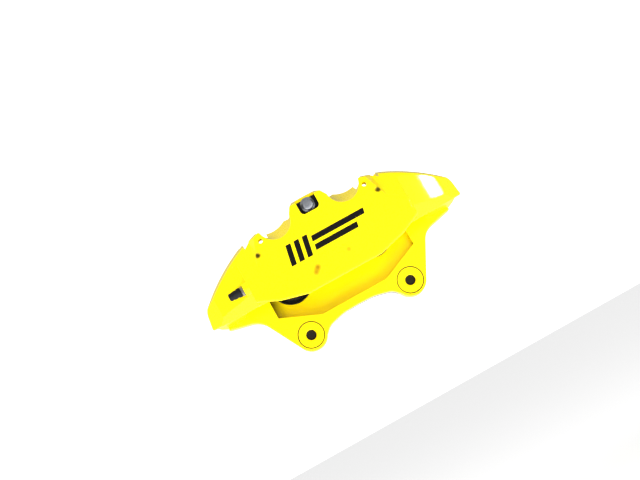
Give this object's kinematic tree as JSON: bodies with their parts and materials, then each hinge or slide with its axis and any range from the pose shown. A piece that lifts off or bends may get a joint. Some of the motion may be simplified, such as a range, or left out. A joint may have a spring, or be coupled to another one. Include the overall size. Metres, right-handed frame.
{
  "type": "brake caliper",
  "caption": "Fixed opposed-piston disc brake caliper with a bolted two-part wing-shaped cast body, mounting ears, bleed screws and a middle tie bolt, shown without pads.",
  "frame": {"origin": "midway between the two ear bolt holes, on the inboard face of the ears that meets the knuckle", "axes": "+X along the caliper's length, +Y along the disc axis towards the knuckle (inboard), +Z away from the hub"},
  "size_m": [0.3152, 0.149, 0.1511],
  "materials": {
    "cast_body": "gloss powder coat over cast aluminium",
    "piston_alloy": "hard anodised, ground skirt",
    "seal_rubber": "ground rubber",
    "boot_rubber": "moulded rubber, matt",
    "zinc_steel": "zinc plated, satin",
    "sleeve_steel": "turned steel",
    "black_steel": "black oxide",
    "bleed_steel": "plated steel, turned",
    "cap_rubber": "moulded rubber",
    "stainless_plate": "rolled stainless sheet",
    "insert_steel": "dark phosphated steel"
  },
  "bodies": {
    "caliper_body": {"outboard_housing": "cast_body", "inboard_housing": "cast_body", "outboard_piston_seal_large": "seal_rubber", "outboard_dust_boot_large": "boot_rubber", "outboard_piston_seal_medium": "seal_rubber", "outboard_dust_boot_medium": "boot_rubber", "outboard_piston_seal_small": "seal_rubber", "outboard_dust_boot_small": "boot_rubber", "inboard_piston_seal_large": "seal_rubber", "inboard_dust_boot_large": "boot_rubber", "inboard_piston_seal_medium": "seal_rubber", "inboard_dust_boot_medium": "boot_rubber", "inboard_piston_seal_small": "seal_rubber", "inboard_dust_boot_small": "boot_rubber", "tie_bolt": "zinc_steel", "tie_sleeve": "sleeve_steel", "tie_nut": "zinc_steel", "bridge_bolts": "black_steel", "gallery_plugs": "black_steel", "crossover_seal": "seal_rubber", "outboard_abutment_plates": "stainless_plate", "inboard_abutment_plates": "stainless_plate", "outboard_abutment_screws": "stainless_plate", "inboard_abutment_screws": "stainless_plate", "ear_inserts": "insert_steel"},
    "outboard_piston_large": {"outboard_piston_large": "piston_alloy"},
    "outboard_piston_medium": {"outboard_piston_medium": "piston_alloy"},
    "outboard_piston_small": {"outboard_piston_small": "piston_alloy"},
    "inboard_piston_large": {"inboard_piston_large": "piston_alloy"},
    "inboard_piston_medium": {"inboard_piston_medium": "piston_alloy"},
    "inboard_piston_small": {"inboard_piston_small": "piston_alloy"},
    "outboard_bleed_screw": {"outboard_bleed_screw": "bleed_steel"},
    "outboard_bleed_cap": {"outboard_bleed_cap": "cap_rubber"},
    "inboard_bleed_screw": {"inboard_bleed_screw": "bleed_steel"},
    "inboard_bleed_cap": {"inboard_bleed_cap": "cap_rubber"}
  },
  "joints": [
    {"name": "outboard_piston_large_slide", "type": "slide", "parent": "caliper_body", "child": "outboard_piston_large", "axis": [0, 1, 0], "range_m": [0, 0.014]},
    {"name": "outboard_piston_medium_slide", "type": "slide", "parent": "caliper_body", "child": "outboard_piston_medium", "axis": [0, 1, 0], "range_m": [0, 0.014]},
    {"name": "outboard_piston_small_slide", "type": "slide", "parent": "caliper_body", "child": "outboard_piston_small", "axis": [0, 1, 0], "range_m": [0, 0.014]},
    {"name": "inboard_piston_large_slide", "type": "slide", "parent": "caliper_body", "child": "inboard_piston_large", "axis": [0, -1, 0], "range_m": [0, 0.014]},
    {"name": "inboard_piston_medium_slide", "type": "slide", "parent": "caliper_body", "child": "inboard_piston_medium", "axis": [0, -1, 0], "range_m": [0, 0.014]},
    {"name": "inboard_piston_small_slide", "type": "slide", "parent": "caliper_body", "child": "inboard_piston_small", "axis": [0, -1, 0], "range_m": [0, 0.014]},
    {"name": "outboard_bleed_screw_turn", "type": "hinge", "parent": "caliper_body", "child": "outboard_bleed_screw", "pos_m": [-0.108, -0.105, 0.0714], "axis": [-1, 0, 0], "range_deg": [0, 270]},
    {"name": "outboard_bleed_cap_pull", "type": "slide", "parent": "outboard_bleed_screw", "child": "outboard_bleed_cap", "axis": [-1, 0, 0], "range_m": [0, 0.014]},
    {"name": "inboard_bleed_screw_turn", "type": "hinge", "parent": "caliper_body", "child": "inboard_bleed_screw", "pos_m": [-0.108, 0.021, 0.0714], "axis": [-1, 0, 0], "range_deg": [0, 270]},
    {"name": "inboard_bleed_cap_pull", "type": "slide", "parent": "inboard_bleed_screw", "child": "inboard_bleed_cap", "axis": [-1, 0, 0], "range_m": [0, 0.014]}
  ]
}
